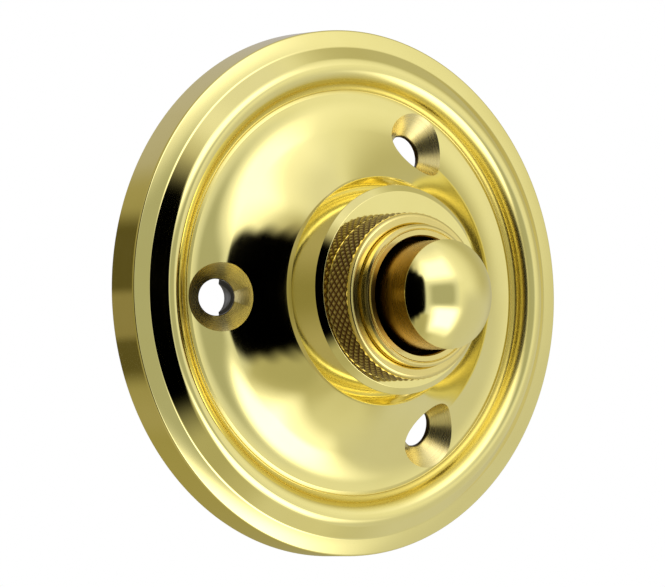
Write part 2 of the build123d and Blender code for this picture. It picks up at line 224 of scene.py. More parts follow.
# The bush comes straight from the tool: stronger rings and softer reflections. Its mouth is
# painted dark brown as painted shade inside the bore.
tool_turned_brass = turned_brass("brass_tool_turned", "#f3e397", "#e9d587", 0.16, 0.22, 0.8,
                                 mouth_painted_shade, "#3a2409", 0.3)
# The nut is turned the same way and then knurled. Its ridges stay bright, and its grooves are
# painted dark brown by depth as painted shade.
knurled_brass = turned_brass("brass_knurled", "#f3e397", "#e9d587", 0.2, 0.22, 0.8,
                             knurl_painted_shade, "#4a1f08", 0.2)
print("brass finishes:", mop_polished_brass.name, tool_turned_brass.name, knurled_brass.name)

# %% [markdown]
# ## Countersunk brass
#
# A countersink leaves its own rings, round the screw hole and not round the plate. The mesh will
# carry a number at each point, its distance from the nearest screw axis, and this finish reads it
# by name. To the eye the cone is satin, with a light and a dark sector that turn with the light.

# %% Countersink-cut brass
DRILL_RADIUS, SCREW_HOLE_R = "drill_radius", 2.62
WALL_PAST, CONE_PAST = 0.03, 0.15
# Real feed marks stand about 0.05 mm apart, too fine to show, so they are drawn coarser.
FEED_MM, FEED_HEIGHT_MM = 0.25, 0.01


def countersunk_brass():
    material, tree, surface = new_material("brass_countersink_cut")
    radius = add_node(tree, "ShaderNodeAttribute", attribute_name=DRILL_RADIUS).outputs["Fac"]
    section = add_node(tree, "ShaderNodeCombineXYZ", {"X": radius}).outputs[0]
    rings = add_node(tree, "ShaderNodeTexNoise", {"Vector": section, "Scale": 1 / (FEED_MM * MM),
                                                  "Detail": 3.0}).outputs["Fac"]
    tint = add_node(tree, "ShaderNodeMix", {0: rings, 6: colour("#f3e6a8"), 7: colour("#e2d08c")},
                    data_type="RGBA").outputs[2]
    # The straight wall of the hole is painted dark brown up to the cone, as painted shade in the hole.
    past_wall = {"Value": radius, "From Min": (SCREW_HOLE_R + WALL_PAST) * MM,
                 "From Max": (SCREW_HOLE_R + CONE_PAST) * MM}
    cone = add_node(tree, "ShaderNodeMapRange", past_wall).outputs["Result"]
    shown = add_node(tree, "ShaderNodeMix", {0: cone, 6: colour("#3a2c14"), 7: tint},
                     data_type="RGBA").outputs[2]
    tree.links.new(shown, surface.inputs["Base Color"])
    haze = add_node(tree, "ShaderNodeMapRange", {"Value": rings, "To Min": 0.2, "To Max": 0.34})
    tree.links.new(haze.outputs["Result"], surface.inputs["Roughness"])
    ripple = add_node(tree, "ShaderNodeBump", {"Height": rings, "Strength": 0.5,
                                               "Distance": FEED_HEIGHT_MM * MM})
    tree.links.new(ripple.outputs["Normal"], surface.inputs["Normal"])
    surface.inputs["Metallic"].default_value = 1.0
    return material


cut_brass = countersunk_brass()
print("cut finish:", cut_brass.name)

# %% [markdown]
# ## Drawing a turned outline
#
# A lathe piece is one outline turned round an axis. The outline is drawn as with a pen, in
# strokes: straight lines, and arcs that carry on from the pen's heading. Each point keeps its
# heading, because the surface direction is always a quarter turn to the right of it. A corner is
# eased by a small arc, as a polishing mop eases the real edge.

# %% Outline pen
class Outline:
    """Radius across and height off the wall, in millimetres, with the solid on the pen's left."""

    def __init__(self, r, h):
        self.r, self.h, self.heading = r, h, pi / 2
        self.strokes = []

    def line(self, r, h):
        self.heading = atan2(h - self.h, r - self.r)
        self.strokes.append([(self.r, self.h, self.heading), (r, h, self.heading)])
        self.r, self.h = r, h

    def arc(self, radius, turn_deg):
        side = copysign(1, turn_deg)
        centre_r = self.r - side * radius * sin(self.heading)
        centre_h = self.h + side * radius * cos(self.heading)
        step_deg = 3 if radius > 1 else 10
        steps = max(3, ceil(abs(turn_deg) / step_deg))
        headings = [self.heading + radians(turn_deg) * k / steps for k in range(steps + 1)]
        reach = side * radius
        stroke = [(centre_r + reach * sin(a), centre_h - reach * cos(a), a) for a in headings]
        self.strokes.append(stroke)
        self.r, self.h, self.heading = stroke[-1]

    def corner(self, r, h, radius, towards):
        inbound = atan2(h - self.h, r - self.r)
        outbound = atan2(towards[1] - h, towards[0] - r)
        turn = (outbound - inbound + pi) % (2 * pi) - pi
        back = radius * tan(abs(turn) / 2)
        self.line(r - back * cos(inbound), h - back * sin(inbound))
        self.arc(radius, degrees(turn))

    def corners(self, spots, ease):
        for spot, following in zip(spots, spots[1:]):
            self.corner(*spot, ease, towards=following)
        self.line(*spots[-1])


trial = Outline(1, 0)
trial.arc(1, 90)
print(f"a quarter turn of radius 1 from 1, 0 ends at {trial.r:.2f}, {trial.h:.2f}")

# %% [markdown]
# ## Spinning it
#
# Blender can spin a curve with a Screw modifier, but a loop over the angle is as short and leaves
# a clean closed mesh that later cuts can trust. A point on the axis becomes one shared vertex. A
# relief function may push points in, for a knurl: then each square is split along the lower of
# its two diagonals, so a groove stays a clean crease.

# %% Spin
def spin(name, strokes, turns, centre=(0.0, 0.0), relief=None):
    mesh_maker = bmesh.new()
    rings = []
    path = [stroke[k] for stroke in strokes for k in range(len(stroke) - 1)]
    for r, h, _ in path:
        if r < 1e-6:
            rings.append([mesh_maker.verts.new((0, -h * MM, 0))] * turns)
            continue
        ring = []
        for k in range(turns):
            a = 2 * pi * k / turns
            out = r + (relief(r, h, a) if relief else 0)
            ring.append(mesh_maker.verts.new((out * cos(a) * MM, -h * MM, out * sin(a) * MM)))
        rings.append(ring)
    for ring, following in zip(rings, rings[1:] + rings[:1]):
        for k in range(turns):
            corners = [ring[k], ring[k - 1], following[k - 1], following[k]]
            unique = list(dict.fromkeys(corners))
            if relief and len(unique) == 4:
                depth = [hypot(v.co.x, v.co.z) for v in corners]
                first = 0 if depth[0] + depth[2] < depth[1] + depth[3] else 1
                turned = corners[first:] + corners[:first]
                mesh_maker.faces.new(turned[:3])
                mesh_maker.faces.new([turned[0], turned[2], turned[3]])
            elif len(unique) > 2:
                mesh_maker.faces.new(unique)
    bmesh.ops.recalc_face_normals(mesh_maker, faces=mesh_maker.faces)
    mesh = bpy.data.meshes.new(name)
    mesh_maker.to_mesh(mesh)
    mesh_maker.free()
    piece = bpy.data.objects.new(name, mesh)
    piece.location = (centre[0] * MM, 0, centre[1] * MM)
    bpy.context.scene.collection.objects.link(piece)
    return piece


# %% [markdown]
# ## Exact surface directions
#
# A mirror finish doubles every error of a mesh, most of all where a hole cuts long thin faces. So
# each corner of each face that lies on the outline gets its direction from the outline itself.
# Faces that lie elsewhere, such as the wall of a drilled hole, keep Blender's own smooth shading
# with sharp edges.

# %% Exact normals
ON_OUTLINE, SAMPLE_MM, SAME_WAY = 0.03, 0.1, 0.9
SHARP = radians(28)


def exact_normals(piece, strokes):
    mesh = piece.data
    mesh.polygons.foreach_set("use_smooth", [True] * len(mesh.polygons))
    mesh.set_sharp_from_angle(angle=SHARP)
    pairs = [pair for stroke in strokes for pair in zip(stroke, stroke[1:])]
    samples = []
    for index, (a, b) in enumerate(pairs):
        parts = max(1, ceil(hypot(b[0] - a[0], b[1] - a[1]) / SAMPLE_MM))
        for k in range(parts):
            t = (k + 0.5) / parts
            samples.append(((a[0] + (b[0] - a[0]) * t, a[1] + (b[1] - a[1]) * t, 0), index))
    finder = KDTree(len(samples))
    for number, (spot, _) in enumerate(samples):
        finder.insert(spot, number)
    finder.balance()
    normals = np.zeros((len(mesh.loops), 3))
    found = 0
    for face in mesh.polygons:
        x, y, z = face.center / MM
        centre_r = hypot(x, z)
        _, number, _ = finder.find((centre_r, -y, 0))
        a, b = pairs[samples[number][1]]
        run = (b[0] - a[0], b[1] - a[1])
        length = hypot(*run)
        away = abs((centre_r - a[0]) * run[1] - (-y - a[1]) * run[0]) / length
        along = (face.normal.x * x + face.normal.z * z) / max(centre_r, 1e-9)
        facing = (along * run[1] + face.normal.y * run[0]) / length
        if away > ON_OUTLINE or facing < SAME_WAY:
            continue
        found += 1
        for loop_index in face.loop_indices:
            vx, vy, vz = mesh.vertices[mesh.loops[loop_index].vertex_index].co / MM
            r = hypot(vx, vz)
            t = min(1, max(0, ((r - a[0]) * run[0] + (-vy - a[1]) * run[1]) / length ** 2))
            heading = a[2] + (b[2] - a[2]) * t
            ux, uz = (vx / r, vz / r) if r > 1e-6 else (x / centre_r, z / centre_r)
            normals[loop_index] = (sin(heading) * ux, cos(heading), sin(heading) * uz)
    mesh.normals_split_custom_set(normals)
    print(f"{piece.name}: {found} of {len(mesh.polygons)} faces follow the outline")


# %% [markdown]
# ## Wall plate
#
# The plate is cast brass, turned and polished. From the wall inwards its front is a straight
# edge, a lip that slopes and swells a little, a bead with a steep outer flank, a hollow groove, a
# fine step, and then a flare like a trumpet mouth that rises to the chamfered boss. Neighbouring
# arcs share a heading, so reflections run on without a kink.

# %% Plate front
rim_h, rim_round = 5.25, 0.35
lip_in_r, lip_outer_deg, lip_inner_deg = 35.7, 14, 9
flank_w, flank_deg, lip_fillet = 1.55, 42, 0.6
crest_round, bead_r, bead_turn = 1.9, 2.6, 60
groove_in_r, groove_deg, groove_fillet, groove_rise_deg = 29.46, 10, 0.2, 72
foot, skirt_start, foot_ease = (29.144, 5.925), (28.694, 6.045), 0.12
skirt_r, skirt_turn = 10.8, 30
flare_end_r, root_r, neck_deg, wall_deg = 16.6, 1.5, 45, 73
boss_r, chamfer_w, chamfer_h, shoulder_ease, boss_ease = 14.064, 0.92, 0.84, 0.3, 0.1
skin_t, rim_wall_t, seat_h = 3.0, 3.0, 11.2
bore_r, seat_wall_r, mouth_r = 10.2, 12.4, 8.0

lip_outer, lip_inner = radians(lip_outer_deg), radians(lip_inner_deg)

front = Outline(plate_r, 0)
lip_heading = (plate_r - cos(lip_outer), rim_h + sin(lip_outer))
front.corner(plate_r, rim_h, rim_round, towards=lip_heading)
lip_r = (front.r - lip_in_r) / (sin(lip_outer) - sin(lip_inner))
front.arc(lip_r, lip_outer_deg - lip_inner_deg)
front.arc(lip_fillet, lip_inner_deg - flank_deg)
front.line(front.r - flank_w, front.h + flank_w * tan(radians(flank_deg)))
front.arc(crest_round, flank_deg)
front.arc(bead_r, bead_turn)
cove_r = (front.r - groove_in_r) / (sin(radians(bead_turn)) - sin(radians(groove_deg)))
front.arc(cove_r, groove_deg - bead_turn)
print(f"bottom of the groove at {front.r:.2f}, {front.h:.2f} mm")
front.arc(groove_fillet, -groove_rise_deg)
front.corner(*foot, foot_ease, towards=skirt_start)
front.line(*skirt_start)
front.heading = pi
front.arc(skirt_r, -skirt_turn)
centre_line = list(front.strokes[-1])
flare_r = (front.r - flare_end_r) / (sin(radians(neck_deg)) - sin(radians(skirt_turn)))
front.arc(flare_r, skirt_turn - neck_deg)
centre_line += front.strokes[-1]
front.arc(root_r, neck_deg - wall_deg)
front.corner(boss_r + chamfer_w, boss_h - chamfer_h, shoulder_ease, towards=(boss_r, boss_h))
front.corner(boss_r, boss_h, boss_ease, towards=(mouth_r, boss_h))
front.line(mouth_r, boss_h)
print(f"front outline: {len(front.strokes)} strokes, flare radius {flare_r:.2f} mm")

# %% [markdown]
# ### Hollow back
#
# Behind, the casting follows the front at about one skin thickness, so the hollow is the same
# skirt and flare with larger radii. The outline closes on itself where it began, at the wall.

# %% Plate back
inner_stop_deg, rim_in_round, flare_back_r = 42, 1.0, 43.0
rim_in_r = plate_r - rim_wall_t
back_floor_h = skirt_start[1] - skin_t

hollow = Outline(rim_in_r, 0)
hollow.corner(rim_in_r, back_floor_h, rim_in_round, towards=(skirt_start[0], back_floor_h))
hollow.line(skirt_start[0], back_floor_h)
hollow.arc(skirt_r + skin_t, -skirt_turn)
hollow.arc(flare_back_r, skirt_turn - inner_stop_deg)
hollow.line(seat_wall_r, seat_h)
hollow.line(mouth_r, seat_h)

whole = Outline(plate_r, 0)
whole.strokes = list(front.strokes)
whole.r, whole.h = front.r, front.h
whole.line(mouth_r, seat_h)
for stroke in reversed(hollow.strokes):
    whole.strokes.append([(r, h, heading + pi) for r, h, heading in reversed(stroke)])
whole.r, whole.h = rim_in_r, 0
whole.line(plate_r, 0)

PLATE_TURNS = 288
plate = spin("wall_plate", whole.strokes, PLATE_TURNS)
plate.data.materials.append(mop_polished_brass)
print(f"wall plate: {len(plate.data.polygons)} faces")

# %% [markdown]
# ### Drills and pillars
#
# The screw holes lean outwards and are drilled and countersunk, and the bore for the button unit
# stands a little off centre. Each drill is itself a small turned shape, and so are the two
# pillars that carry the contacts. The sinks were cut by hand and are not quite round at the face:
# a little wide across, and short towards the boss.

# %% Drills
hole_n, hole_in, hole_phase, hole_lean = 3, 4.63, 180, radians(19.5)
hole_r, sink_r, sink_slope = SCREW_HOLE_R, 4.55, radians(37)
drill_over, drill_depth, shank_play = 2.4, 8.0, 0.1
sink_wide, sink_short = 1.17, 0.81
tap_r, tap_h, ear_z, clear_h = 1.25, 7.4, 19.3, 2.0


def drill(name, spots, turns):
    shape = Outline(*spots[0])
    for spot in spots[1:] + spots[:1]:
        shape.line(*spot)
    return spin(name, shape.strokes, turns)


def place(piece, spot, outward):
    turn = Vector((0, -1, 0)).rotation_difference(Vector(outward))
    piece.matrix_world = Matrix.Translation(Vector(spot) * MM) @ turn.to_matrix().to_4x4()


hole_pitch_r = skirt_start[0] - hole_in
hole_h = skirt_start[1] + skirt_r * (1 - cos(asin(hole_in / skirt_r)))
sink_depth = (sink_r - hole_r) / tan(sink_slope)
sink_top_r = sink_r + drill_over * tan(sink_slope)
screw_axes, drills = [], []
for k in range(hole_n):
    turn = radians(hole_phase + 360 * k / hole_n)
    spot = Vector((hole_pitch_r * cos(turn), -hole_h, hole_pitch_r * sin(turn)))
    outward = Vector((sin(hole_lean) * cos(turn), -cos(hole_lean), sin(hole_lean) * sin(turn)))
    bit = drill(f"screw_drill_{k}", [(0, -drill_depth), (hole_r, -drill_depth), (hole_r, -sink_depth),
                                     (sink_top_r, drill_over), (0, drill_over)], turns=128)
    for vertex in bit.data.vertices:
        out = vertex.co.x * cos(turn) + vertex.co.z * sin(turn)
        across = vertex.co.z * cos(turn) - vertex.co.x * sin(turn)
        if hypot(out, across) > (hole_r + shank_play) * MM:
            out *= sink_short if out < 0 else 1
            across *= sink_wide
            vertex.co.x = out * cos(turn) - across * sin(turn)
            vertex.co.z = out * sin(turn) + across * cos(turn)
    place(bit, spot, outward)
    screw_axes.append((spot, outward))
    drills.append(bit)

bore = drill("unit_drill", [(0, -clear_h), (seat_wall_r, -clear_h), (seat_wall_r, seat_h),
                            (bore_r, seat_h), (bore_r, boss_h + clear_h),
                            (0, boss_h + clear_h)], turns=192)
place(bore, (unit_x, 0, unit_z), (0, -1, 0))
drills.append(bore)
for side in (1, -1):
    tap = drill(f"tap_drill_{side}", [(0, 0), (tap_r, 0), (tap_r, tap_h), (0, tap_h)], turns=48)
    place(tap, (unit_x, 0, unit_z + side * ear_z), (0, -1, 0))
    drills.append(tap)
print("drills:", [bit.name for bit in drills])

# %% Pillars
pillar_r, pillar_h, pillar_foot = 3.4, 3.3, 1.0
centre_line_r = [point[0] for point in reversed(centre_line)]
centre_line_h = [point[1] for point in reversed(centre_line)]
pillars = []
for side in (1, -1):
    spot = (unit_x, 0, unit_z + side * ear_z)
    pillar = drill(f"pillar_{side}", [(0, pillar_h), (pillar_r, pillar_h),
                                      (pillar_r, seat_h), (0, seat_h)], turns=64)
    for vertex in pillar.data.vertices:
        if vertex.co.y < -(pillar_h + pillar_foot) * MM:
            out = hypot(vertex.co.x / MM + spot[0], vertex.co.z / MM + spot[2])
            vertex.co.y = -(np.interp(out, centre_line_r, centre_line_h) - skin_t / 2) * MM
    place(pillar, spot, (0, -1, 0))
    pillars.append(pillar)
print("pillars:", [pillar.name for pillar in pillars])

# %% [markdown]
# ### Cutting
#
# Boolean modifiers join the pillars and take out the holes. The exact solver is slower than the
# fast one but keeps clean edges, and it lets the cut faces bring the drill's own finish with
# them. The result is then kept as the mesh.

# %% Cut the plate
def keep_modified(piece):
    bpy.context.view_layer.update()
    graph = bpy.context.evaluated_depsgraph_get()
    piece.data = bpy.data.meshes.new_from_object(piece.evaluated_get(graph), depsgraph=graph)
    piece.data.name = piece.name
    piece.modifiers.clear()


def combine(piece, tools, operation, finish):
    for tool in tools:
        tool.data.materials.append(finish)
        step = piece.modifiers.new(tool.name, "BOOLEAN")
        step.operation, step.object, step.solver = operation, tool, "EXACT"
        step.material_mode = "TRANSFER"
    keep_modified(piece)
    for tool in tools:
        bpy.data.objects.remove(tool)


combine(plate, pillars, "UNION", mop_polished_brass)
combine(plate, drills, "DIFFERENCE", cut_brass)
distances = []
for vertex in plate.data.vertices:
    gaps = [((vertex.co / MM - spot).cross(outward)).length for spot, outward in screw_axes]
    distances.append(min(gaps) * MM)
plate.data.attributes.new(DRILL_RADIUS, "FLOAT", "POINT").data.foreach_set("value", distances)
exact_normals(plate, whole.strokes)
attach(plate, "housing")
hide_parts("rose_plate")
plate.data.calc_loop_triangles()
print(f"wall plate after cutting: {len(plate.data.loop_triangles)} triangles")

# %% [markdown]
# ## Ring nut
#
# The nut is gripped by the fingers, so its wall is knurled: two sets of grooves rolled in at
# opposite slants leave rows of small pyramids. They are real shapes here, because their edges
# break the outline against the bright plate. The height of a point is its distance to the nearer
# groove, and a little of each tip is flat.

# %% Knurled nut
knurl_teeth, knurl_depth, knurl_steps = 60, 0.3, 12
plain_foot, plain_top, plain_inset = 0.12, 0.76, 0.16
knurl_low_h, knurl_high_h, knurl_pitches = boss_h + plain_foot, nut_top_h - plain_top, 3.5
knurl_slope, knurl_edge, knurl_full = 0.88, 0.02, 1.01
nut_shoulder_r, nut_round, nut_mouth, nut_ease = nut_r - plain_inset, 0.62, 0.25, 0.04
knurl_pitch = (knurl_high_h - knurl_low_h) / knurl_pitches


def knurl(r, h, angle):
    if r < nut_r:
        return 0
    round_it = knurl_teeth * angle / (2 * pi)
    up_it = (h - knurl_low_h) / knurl_pitch
    nearest = min(0.5 - abs((round_it + slant * up_it) % 1 - 0.5) for slant in (1, -1))
    return -knurl_depth * (1 - min(2 * nearest / knurl_slope, 1))


ring = Outline(nut_shoulder_r, boss_h)
ring.line(nut_shoulder_r, knurl_low_h)
ring.line(nut_r, knurl_low_h)
rows = round(knurl_pitches * knurl_steps)
row_heights = [knurl_low_h + knurl_pitch * k / knurl_steps for k in range(rows + 1)]
ring.strokes.append([(nut_r, h, pi / 2) for h in row_heights])
ring.r, ring.h = nut_r, knurl_high_h
ring.line(nut_shoulder_r, knurl_high_h)
knurled_strokes = len(ring.strokes)
ring.corner(nut_shoulder_r, nut_top_h, nut_round, towards=(bore_r + nut_mouth, nut_top_h))
ring.corners([(bore_r + nut_mouth, nut_top_h), (bore_r, nut_top_h - nut_mouth),
              (bore_r, boss_h)], nut_ease)
ring.line(nut_shoulder_r, boss_h)

nut = spin("knurled_nut", ring.strokes, knurl_teeth * knurl_steps, (unit_x, unit_z), relief=knurl)
nut.data.materials.append(knurled_brass)
depths = []
for vertex in nut.data.vertices:
    depth = (nut_r - hypot(vertex.co.x, vertex.co.z) / MM) / knurl_depth
    toothed = knurl_low_h + knurl_edge < -vertex.co.y / MM < knurl_high_h - knurl_edge
    depths.append(depth if toothed and depth < knurl_full else 0.0)
nut.data.attributes.new(KNURL_DEPTH, "FLOAT", "POINT").data.foreach_set("value", depths)
exact_normals(nut, ring.strokes[knurled_strokes:])
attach(nut, "housing")
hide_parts("ring_nut")
print(f"knurl: {knurl_teeth} teeth, pitch {knurl_pitch:.3f} mm, {len(nut.data.polygons)} faces")

# %% [markdown]
# ## Guide bush
#
# The bush passes through the boss and its end stands proud of the nut. Its outside carries the
# thread, its end face a fine line cut by the tool, and its mouth is a little wider than the
# button, which leaves the dark ring that frames the stem.

# %% Bush
guide_r, mouth_wall_r, thread_r = 7.8, 8.32, 10.15
mouth_depth, lip_chamfer, end_chamfer = 4.25, 0.3, 0.3
line_r, line_w, line_d, bush_ease = 9.45, 0.25, 0.2, 0.03
flange_r, flange_back_h, counterbore_r, stop_h = 12.0, 9.2, 9.3, 13.0
UNIT_TURNS = 192

sleeve = Outline(thread_r, seat_h)
sleeve.corners([(thread_r, bush_h - end_chamfer), (thread_r - end_chamfer, bush_h),
                (line_r + line_w / 2, bush_h), (line_r, bush_h - line_d), (line_r - line_w / 2, bush_h),
                (mouth_wall_r + lip_chamfer, bush_h), (mouth_wall_r, bush_h - lip_chamfer),
                (mouth_wall_r, bush_h - mouth_depth), (guide_r, bush_h - mouth_depth),
                (guide_r, stop_h), (counterbore_r, stop_h), (counterbore_r, flange_back_h),
                (flange_r, flange_back_h), (flange_r, seat_h), (thread_r, seat_h)], bush_ease)
bush = spin("guide_sleeve", sleeve.strokes, UNIT_TURNS, (unit_x, unit_z))
bush.data.materials.append(tool_turned_brass)
exact_normals(bush, sleeve.strokes)
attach(bush, "housing")
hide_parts("guide_bush")
print(f"bush: {len(bush.data.polygons)} faces")

# %% [markdown]
# ## Button
#
# One turned piece: a straight stem, a crisp edge and a shallow ball-shaped end for the finger.
# Behind, it is bored for the spring and carries a flange that stops it in the bush. The end is
# bright polished brass, while the stem, which slides in the bush, is painted brown: a painted
# reflection of the bush and its dark bore.

# %% Button
stem_r, cap_rise, cap_ease, knob_ease, bright_edge = 7.75, 3.2, 0.06, 0.05, 0.05
stop_flange_r, flange_low_h, flange_high_h = 9.0, 11.3, 12.8
spring_bore_r, spring_bore_h, socket_r, socket_h = 5.9, 17.5, 1.6, 21.5
cap_edge_h = cap_top_h - cap_rise
cap_slope = pi - asin(2 * stem_r * cap_rise / (stem_r ** 2 + cap_rise ** 2))


def stem_painted_reflection(tree, radius, height):
    # Below the cap edge the stem is painted brown, a painted reflection of the bush and its bore.
    edge = {0: height, 1: -(cap_edge_h - bright_edge) * MM}
    return add_node(tree, "ShaderNodeMath", edge, operation="GREATER_THAN").outputs[0]


# The cap is as bright as the plate; the stem is painted a soft brown as a painted reflection of the
# bush and its bore, with a satin shine.
button_brass = turned_brass("brass_button_turned", "#f9eea5", "#f4e799", 0.08, 0.5, 0.6,
                            stem_painted_reflection, "#8c6b20", 0.2)
knob = Outline(stop_flange_r, flange_low_h)
knob.corners([(stop_flange_r, flange_high_h), (stem_r, flange_high_h)], knob_ease)
cap_heading = (stem_r + cos(cap_slope), cap_edge_h + sin(cap_slope))
knob.corner(stem_r, cap_edge_h, cap_ease, towards=cap_heading)
dome_rise = cap_top_h - knob.h
dome_r = (knob.r ** 2 + dome_rise ** 2) / (2 * dome_rise)
knob.heading = pi - asin(knob.r / dome_r)
knob.arc(dome_r, 180 - degrees(knob.heading))
print(f"cap top at {knob.h:.2f} mm, frame has it at {cap_top_h:.2f} mm")
knob.r = 0
knob.line(0, socket_h)
knob.corners([(socket_r, socket_h), (socket_r, spring_bore_h), (spring_bore_r, spring_bore_h),
              (spring_bore_r, flange_low_h), (stop_flange_r, flange_low_h)], knob_ease)
button = spin("domed_button", knob.strokes, UNIT_TURNS, (unit_x, unit_z))
button.data.materials.append(button_brass)
exact_normals(button, knob.strokes)
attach(button, "button")
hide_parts("push_button")
print(f"button: {len(button.data.polygons)} faces")

# %% [markdown]
# ## Worked metals and mouldings inside
#
# The hidden pieces have plainer finishes. Rolled strip and drawn wire carry fine lines along the
# way they were worked, and mouldings a faint skin of flow marks. Each is a noise pattern
# stretched along that way.

# %% Finishes for the inner pieces
GRAIN_HEIGHT_MM = 0.01


def worked_finish(name, light, deep, roughness, grain_mm, metallic=1.0):
    material, tree, surface = new_material(name)
    coords = add_node(tree, "ShaderNodeTexCoord").outputs["Object"]
    per_grain = [1 / (length * MM) for length in grain_mm]
    lines = add_node(tree, "ShaderNodeVectorMath", {0: coords, 1: per_grain},
                     operation="MULTIPLY").outputs[0]
    grain = add_node(tree, "ShaderNodeTexNoise", {"Vector": lines, "Scale": 1.0,
                                                  "Detail": 3.0}).outputs["Fac"]
    tint = add_node(tree, "ShaderNodeMix", {0: grain, 6: colour(light), 7: colour(deep)},
                    data_type="RGBA").outputs[2]
    tree.links.new(tint, surface.inputs["Base Color"])
    haze = {"Value": grain, "From Min": 0.3, "From Max": 0.7,
            "To Min": roughness * 0.8, "To Max": roughness * 1.2}
    rough = add_node(tree, "ShaderNodeMapRange", haze).outputs["Result"]
    tree.links.new(rough, surface.inputs["Roughness"])
    ripple = add_node(tree, "ShaderNodeBump", {"Height": grain, "Strength": 0.3,
                                               "Distance": GRAIN_HEIGHT_MM * MM})
    tree.links.new(ripple.outputs["Normal"], surface.inputs["Normal"])
    surface.inputs["Metallic"].default_value = metallic
    return material


# Black phenolic from a mould: a deep brown-black with a soft even sheen.
phenolic = worked_finish("phenolic_moulded_black", "#0e0c0a", "#080706", 0.5, (1.5, 1.5, 1.5),
                         metallic=0.0)
# Natural nylon from a mould: milky and slightly warm.
nylon = worked_finish("nylon_moulded_natural", "#e9e3d3", "#ddd5c2", 0.42, (1.2, 1.2, 1.2),
                      metallic=0.0)
# Drawn steel wire: grey, with lines too fine to follow round the coil, so only a small grain shows.
drawn_steel = worked_finish("spring_steel_drawn", "#c3c5c7", "#9fa2a5", 0.28, (0.4, 0.4, 0.4))
# Rolled bronze strip: warmer than brass, with long straight lines from the rolls.
rolled_bronze = worked_finish("phosphor_bronze_rolled", "#d9ab77", "#c08e58", 0.26, (6.0, 0.3, 0.2))
# Bar-turned brass for screws, nuts and washers: bright, but never mop-polished.
bar_brass = worked_finish("brass_bar_turned", "#e3cd86", "#cdb069", 0.27, (0.5, 0.5, 0.5))
# Silver contact point: pale and soft in its shine.
silver = worked_finish("contact_silver_pressed", "#e6e3dc", "#cfcbc2", 0.24, (0.4, 0.4, 0.4))
inner_finishes = (phenolic, nylon, drawn_steel, rolled_bronze, bar_brass, silver)
print("inner finishes:", [finish.name for finish in inner_finishes])

# %% [markdown]
# ## Return spring
#
# A coil of round wire between the carrier and the button.

# %% Spring
spring_box_low, spring_box_high = span("return_spring")
wire_r, coil_turns, wire_sides, steps_per_turn = 0.4, 5.5, 14, 40
coil_r, coil_sharp = 4.9, radians(50)
coil_low_h = -spring_box_high[1] + wire_r
coil_high_h = -spring_box_low[1] - wire_r
steps = round(coil_turns * steps_per_turn)
slope = atan2((coil_high_h - coil_low_h) / coil_turns, 2 * pi * coil_r)

coil_maker = bmesh.new()
sections = []
for k in range(steps + 1):
    a = 2 * pi * coil_turns * k / steps
    outward = Vector((cos(a), 0, sin(a)))
    along = Vector((-sin(a) * cos(slope), -sin(slope), cos(a) * cos(slope)))
    upward = along.cross(outward)
    climb = coil_low_h + (coil_high_h - coil_low_h) * k / steps
    middle = outward * coil_r + Vector((0, -climb, 0))
    angles = [2 * pi * n / wire_sides for n in range(wire_sides)]
    spots = [(middle + (outward * cos(b) + upward * sin(b)) * wire_r) * MM for b in angles]
    sections.append([coil_maker.verts.new(spot) for spot in spots])
for one, two in zip(sections, sections[1:]):
    for n in range(wire_sides):
        coil_maker.faces.new([one[n - 1], one[n], two[n], two[n - 1]])
coil_maker.faces.new(sections[0])
coil_maker.faces.new(sections[-1])
bmesh.ops.recalc_face_normals(coil_maker, faces=coil_maker.faces)
spring_mesh = bpy.data.meshes.new("return_coil")
coil_maker.to_mesh(spring_mesh)
coil_maker.free()
spring_mesh.polygons.foreach_set("use_smooth", [True] * len(spring_mesh.polygons))
spring_mesh.set_sharp_from_angle(angle=coil_sharp)
spring = bpy.data.objects.new("return_coil", spring_mesh)
spring.location = (unit_x * MM, 0, unit_z * MM)
bpy.context.scene.collection.objects.link(spring)
spring_mesh.materials.append(drawn_steel)

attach(spring, "housing")
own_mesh(spring)
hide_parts("return_spring")

# %% [markdown]
# ## Contact leaf
#
# The sprung leaf is clamped at one end and pushed down at the other.

# %% Leaf
leaf_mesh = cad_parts["moving_contact"].data.copy()
leaf_mesh.name = "contact_leaf"
leaf_maker = bmesh.new()
leaf_maker.from_mesh(leaf_mesh)
leaf_from, leaf_to, leaf_cuts, leaf_half_t = -9.5, 1.0, 24, 0.12
for k in range(leaf_cuts + 1):
    at = (unit_x + leaf_from + (leaf_to - leaf_from) * k / leaf_cuts) * MM
    everything = leaf_maker.verts[:] + leaf_maker.edges[:] + leaf_maker.faces[:]
    bmesh.ops.bisect_plane(leaf_maker, geom=everything, plane_co=(at, 0, 0),
                           plane_no=(1, 0, 0), dist=1e-7)
leaf_maker.to_mesh(leaf_mesh)
leaf_maker.free()
leaf_mesh.materials.clear()
leaf_mesh.materials.append(rolled_bronze)
leaf = bpy.data.objects.new("contact_leaf", leaf_mesh)
bpy.context.scene.collection.objects.link(leaf)
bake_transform(leaf)
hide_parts("moving_contact")
print(f"leaf: {len(leaf_mesh.polygons)} faces, bends over {leaf_to - leaf_from:.1f} mm")

# %% [markdown]
# ## Pieces kept from the frame
#
# Carrier, strips, screws, washers and plunger already have the right shape. They keep the frame's
# mesh and get their finish, and a small Bevel modifier breaks the edges, because no real edge is
# perfectly sharp.

